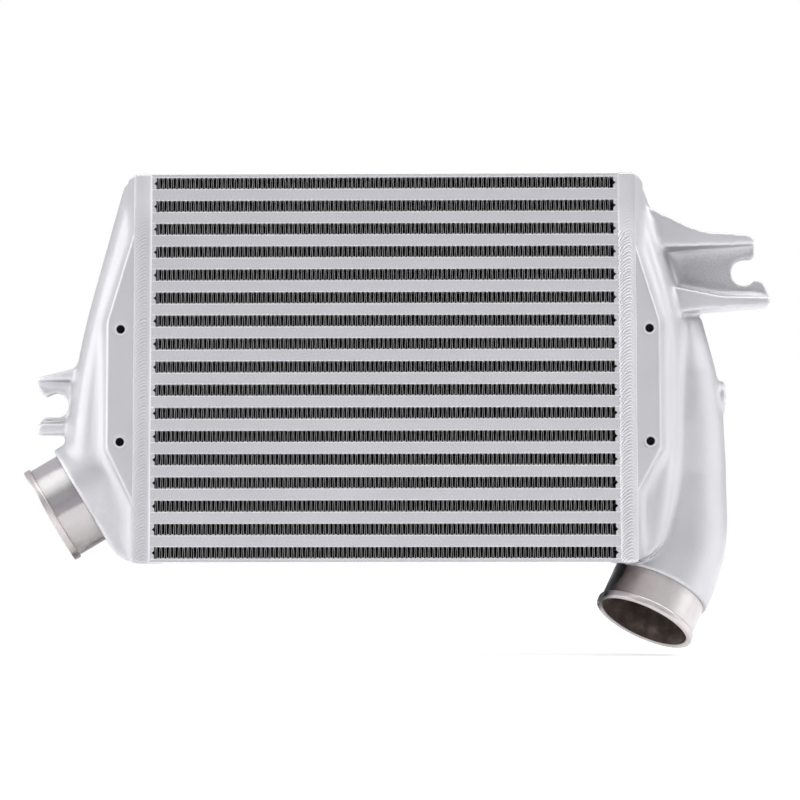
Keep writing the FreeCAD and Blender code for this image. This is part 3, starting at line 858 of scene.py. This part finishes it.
def casting(name, node, seat, axis, holes, keep_sharp, paint, raw):
    """The tank with a caster's rounded edges; its machined neck is cut off and is a piece of its own."""
    rough = add_object(name + "_rough", welded_copy(node))
    cutter = neck_and_hole_cutter(seat, axis, holes)
    cut = rough.modifiers.new("cut", "BOOLEAN")
    cut.operation = "DIFFERENCE"
    cut.solver = "EXACT"
    cut.object = cutter
    grid = rough.modifiers.new("grid", "REMESH")
    grid.mode = "VOXEL"
    grid.voxel_size = CAST_VOXEL
    dense = evaluated(rough, name + "_dense")
    cast_edges(dense, keep_sharp)
    fewer = add_object(name + "_fewer", dense)
    thin = fewer.modifiers.new("thin", "DECIMATE")
    thin.ratio = min(1.0, CAST_QUADS / len(dense.polygons))
    final = evaluated(fewer, name)
    for scratch in (cutter, rough, fewer):
        bpy.data.objects.remove(scratch)
    final.materials.clear()
    final.materials.append(paint)
    final.materials.append(raw)
    final.shade_smooth()
    away, along, radial = from_axis(read_vectors(final.polygons, "center"), seat, axis)
    facing = read_vectors(final.polygons, "normal")
    inward = np.sum(facing * (away - along[:, None] * np.array(axis)), axis=1) < 0
    inside = inward & (radial < RAW_RADIUS) & (along < RAW_TO) & (along > RAW_FROM)
    final.polygons.foreach_set("material_index", inside.astype(np.int32))
    return new_piece(name, final, [node])


# Machined necks

BEAD_RISE = 1.6 * MM
BEAD_ROUND = 0.9 * MM
GROOVE_WIDTH = 0.7 * MM
GROOVE_DEPTH = 0.4 * MM
MOUTH_CHAMFER = 0.8 * MM
# Spigot that stands in the casting
SPIGOT_LENGTH = 4.5 * MM
SPIGOT_TAPER = 0.1 * MM
SPIGOT_CHAMFER = 1 * MM
NECK_STEPS = 144
BORE_SKIN = 0.1 * MM


def neck_profile():
    """Outline of the machined neck as (along, radius): spigot, groove, bead, mouth and bore."""
    bead = NECK_LENGTH - BEAD_WIDTH
    top = NECK_RADIUS + BEAD_RISE
    groove = NECK_RADIUS - GROOVE_DEPTH
    points = [(-SPIGOT_LENGTH, NECK_BORE + SPIGOT_CHAMFER), (-SPIGOT_LENGTH, NECK_RADIUS - SPIGOT_TAPER)]
    points += [(0, NECK_RADIUS), (bead - GROOVE_WIDTH, NECK_RADIUS), (bead - GROOVE_WIDTH, groove)]
    arc = []
    for degrees in (0, 30, 60, 90):
        angle = math.radians(degrees)
        arc.append((BEAD_ROUND * (1 - math.cos(angle)), top - BEAD_ROUND * (1 - math.sin(angle))))
    points += [(bead, groove)] + [(bead + inwards, radius) for inwards, radius in arc]
    points += [(NECK_LENGTH - inwards, radius) for inwards, radius in reversed(arc)]
    points += [(NECK_LENGTH, NECK_BORE + MOUTH_CHAMFER), (NECK_LENGTH - MOUTH_CHAMFER, NECK_BORE)]
    return points + [(-SPIGOT_LENGTH, NECK_BORE)]


def machined_neck(side, seat, axis, outside, inside):
    node = side + "_tank"
    neck = lathe(side + "_neck", neck_profile(), seat, axis, NECK_STEPS, [node])
    neck.data.materials.append(outside)
    neck.data.materials.append(inside)
    for face in neck.data.polygons:
        away = face.center - seat
        radial = (away - axis * away.dot(axis)).length
        face.material_index = 1 if radial < NECK_BORE + BORE_SKIN else 0


# Threaded holes

THREAD_PITCH = 1.0 * MM
THREAD_CREST = 0.42 * MM
THREAD_ROOT = 0.05 * MM
HOLE_DEPTH = 8.2 * MM
# The lip's countersink, its width round the hole, its sloping rims, how deep its edge is sunk in the pad and
# how far its face stands out, and the depths of its back beside the sleeve and at its edge
LIP_DEPTH = 0.55 * MM
LIP_WIDTH = 1.5 * MM
LIP_SLOPE = 0.3 * MM
LIP_SUNK = 0.02 * MM
LIP_PROUD = 0.03 * MM
LIP_BACK = (0.9 * MM, 0.5 * MM)
SLEEVE_WALL = 0.2 * MM
HOLE_STEPS = 40
# Depth below which the hole's inside is near-black painted shade
HOLE_SHADE_FROM = 0.35 * MM


def thread_ring(name, at, node, lip_paint, hole_shade):
    """Countersunk lip and thread ridges of one threaded hole; below the lip it is near-black as painted
    shade.
    """
    outer = HOLE_RADIUS + LIP_WIDTH
    sleeve = HOLE_RADIUS + SLEEVE_WALL
    floor = HOLE_DEPTH + SLEEVE_WALL
    root = HOLE_RADIUS - THREAD_ROOT
    profile = [(LIP_SUNK, outer), (-LIP_PROUD, outer - LIP_SLOPE), (-LIP_PROUD, HOLE_RADIUS + LIP_SLOPE)]
    profile.append((LIP_DEPTH, root))
    along = LIP_DEPTH
    while along + THREAD_PITCH < HOLE_DEPTH:
        profile += [(along + THREAD_PITCH / 2, HOLE_RADIUS - THREAD_CREST), (along + THREAD_PITCH, root)]
        along += THREAD_PITCH
    profile += [(HOLE_DEPTH, SLEEVE_WALL), (floor, SLEEVE_WALL), (floor, sleeve)]
    profile += [(LIP_BACK[0], sleeve), (LIP_BACK[1], outer)]
    piece = lathe(name, profile, at, (0, 1, 0), HOLE_STEPS, [node])
    piece.data.materials.append(lip_paint)
    piece.data.materials.append(hole_shade)
    for face in piece.data.polygons:
        face.material_index = 1 if face.center.y - at.y > HOLE_SHADE_FROM else 0


# Assembly

# Seat of each neck in the casting, the way across it as the photograph shows it, and its tones along that
# way, which are painted reflections, highlights and shade
NECKS = {
    "inlet": (Vector((-220.9, 44.5, -78.0)) * MM, Vector((-0.518, 0.0, 0.855)), [
        (0.00, (0.12, 0.12, 0.12)),
        (0.02, (0.14, 0.13, 0.14)),
        (0.04, (0.44, 0.42, 0.42)),
        (0.10, (0.57, 0.55, 0.55)),
        (0.30, (0.62, 0.60, 0.61)),
        (0.38, (0.62, 0.59, 0.60)),
        (0.41, (0.33, 0.31, 0.33)),
        (0.50, (0.35, 0.33, 0.36)),
        (0.60, (0.55, 0.54, 0.56)),
        (0.67, (1.00, 1.00, 1.00)),
        (0.80, (1.00, 1.00, 1.00)),
        (0.85, (0.62, 0.60, 0.64)),
        (1.00, (0.70, 0.68, 0.72)),
    ]),
    "outlet": (Vector((195.9, 45.9, -145.5)) * MM, Vector((0.893, 0.0, -0.451)), [
        (0.00, (0.40, 0.38, 0.38)),
        (0.012, (0.004, 0.004, 0.005)),
        (0.066, (0.004, 0.004, 0.005)),
        (0.088, (0.15, 0.12, 0.11)),
        (0.14, (0.32, 0.28, 0.27)),
        (0.26, (0.62, 0.57, 0.56)),
        (0.44, (0.78, 0.74, 0.74)),
        (0.58, (0.84, 0.81, 0.82)),
        (0.70, (0.88, 0.87, 0.87)),
        (0.82, (0.72, 0.69, 0.70)),
        (1.00, (0.74, 0.72, 0.73)),
    ]),
}

add_camera()
add_floor()
add_world()
add_lights()

bar_paint = silver_paint("bar_paint", BAR_TONES, grain=0.45, skin=0.10, wear_and_light=row_rims)
cast_paint = silver_paint("cast_paint", CAST_TONES, grain=0.06, skin=0.16, wear_and_light=cast_sand_and_painted_light)
# Painted light on the left weld's top and painted shade on the right weld's top
left_weld_light = partial(ridge_light, top_light_tone=1.12)
right_weld_light = partial(ridge_light, top_light_tone=0.82)
left_weld_shaded_paint = silver_paint("left_weld_shaded_paint", LEFT_WELD_SHADED_TONES, grain=0.04, skin=0.06, wear_and_light=left_weld_light)
right_weld_lit_paint = silver_paint("right_weld_lit_paint", RIGHT_WELD_LIT_TONES, grain=0.04, skin=0.06, wear_and_light=right_weld_light)
fins = shaded_fin_metal()
raw = raw_casting("raw_casting", 1.0)
# Near-black painted shade inside the threaded holes
hole_shade_inside = raw_casting("tapped_hole", 0.12)
bore_metal = raw_casting("bore_metal", 1.3)

for name, cad in frame["nodes"].items():
    cad.data.materials.clear()
    if name.startswith("cooling_fin_"):
        cad.data.materials.append(fins)
        fin_row(name, int(name[-2:]), fins)
    elif name.startswith("turbulator_"):
        cad.data.materials.append(fins)
    elif name.endswith("_tank"):
        cad.data.materials.append(cast_paint)
    elif name.endswith("_weld"):
        cad.data.materials.append(left_weld_shaded_paint if name == "left_weld" else right_weld_lit_paint)
    else:
        cad.data.materials.append(bar_paint)

weld_ring("left_weld_bead", "left_weld", 0.5, 3, left_weld_shaded_paint)
weld_ring("right_weld_bead", "right_weld", 1.0, 5, right_weld_lit_paint)

for side, (seat, across, light_bands) in NECKS.items():
    axis = Vector(mounts[side + "_bore"]["axis"]).normalized()
    notch = Vector(mounts[side + "_fork"]["pos_m"])
    keep_sharp = [(seat, axis, SHARP_BORE), (notch, (0, 1, 0), SHARP_NOTCH)]
    keep_sharp += [(hole, (0, 1, 0), SHARP_HOLE) for hole in pad_holes(side)]
    casting(side + "_casting", side + "_tank", seat, axis, pad_holes(side), keep_sharp, cast_paint, raw)
    machined_neck(side, seat, axis, turned_metal(side + "_turned", axis, seat, across, light_bands), bore_metal)

hole_places = [(side, at) for side in NECKS for at in pad_holes(side)]
for number, (side, at) in enumerate(hole_places, 1):
    thread_ring(f"tapped_hole_{number}", at, side + "_tank", cast_paint, hole_shade_inside)
